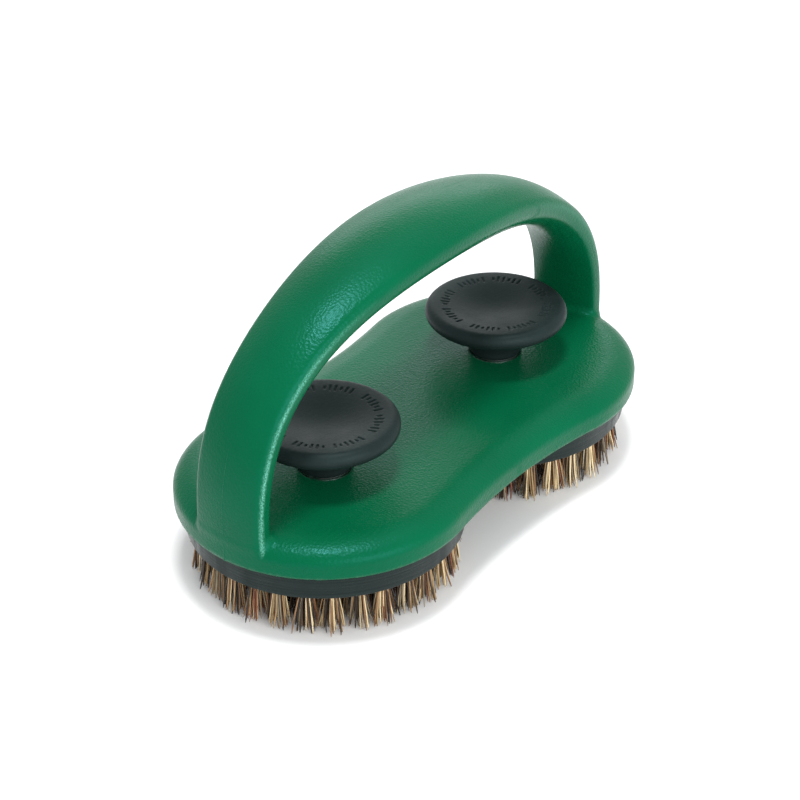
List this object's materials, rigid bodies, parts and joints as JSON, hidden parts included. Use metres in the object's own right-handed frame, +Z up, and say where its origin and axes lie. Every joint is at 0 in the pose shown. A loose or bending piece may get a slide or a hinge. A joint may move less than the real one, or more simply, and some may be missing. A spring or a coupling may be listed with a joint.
{
  "type": "twin-head scrubbing brush",
  "caption": "Hand scrubbing brush with an arched strap handle on a peanut-shaped body and round stiff-fibre heads, each clamped by a dished hand knob.",
  "frame": {"origin": "on the plane of the bristle tips, midway between the two heads", "axes": "+Z up towards the handle, +X along the body from the front head to the rear head"},
  "size_m": [0.1848, 0.0948, 0.1061],
  "materials": {
    "green_plastic": "satin, finely pebbled moulding",
    "black_rubber": "matte, smooth moulded",
    "black_plastic": "semi-matte with faint turning lines",
    "brass": "turned",
    "zinc_steel": "zinc plated",
    "anchor_wire": "drawn flat wire",
    "fibre": "mixed natural fibres, tan to dark brown"
  },
  "bodies": {
    "body": {"body_handle": "green_plastic", "washer_front": "zinc_steel", "washer_rear": "zinc_steel"},
    "knob_front": {"knob_front": "black_rubber", "knob_insert_front": "brass"},
    "head_front": {"block_front": "black_plastic", "bolt_front": "zinc_steel", "anchors_front": "anchor_wire", "tufts_outer_front": "fibre", "tufts_second_front": "fibre", "tufts_third_front": "fibre", "tufts_inner_front": "fibre"},
    "knob_rear": {"knob_rear": "black_rubber", "knob_insert_rear": "brass"},
    "head_rear": {"block_rear": "black_plastic", "bolt_rear": "zinc_steel", "anchors_rear": "anchor_wire", "tufts_outer_rear": "fibre", "tufts_second_rear": "fibre", "tufts_third_rear": "fibre", "tufts_inner_rear": "fibre"}
  },
  "joints": [
    {"name": "knob_turn_front", "type": "hinge", "parent": "body", "child": "knob_front", "pos_m": [-0.045, 0, 0.0349], "axis": [0, 0, 1], "range_deg": [0, 2880]},
    {"name": "head_drop_front", "type": "slide", "parent": "body", "child": "head_front", "axis": [0, 0, -1], "range_m": [0, 0.008]},
    {"name": "knob_turn_rear", "type": "hinge", "parent": "body", "child": "knob_rear", "pos_m": [0.045, 0, 0.0349], "axis": [0, 0, 1], "range_deg": [0, 2880]},
    {"name": "head_drop_rear", "type": "slide", "parent": "body", "child": "head_rear", "axis": [0, 0, -1], "range_m": [0, 0.008]}
  ],
  "couplings": [
    {"joint": "knob_turn_front", "follows": "head_drop_front", "rad_per_m": 6283.2},
    {"joint": "knob_turn_rear", "follows": "head_drop_rear", "rad_per_m": 6283.2}
  ]
}
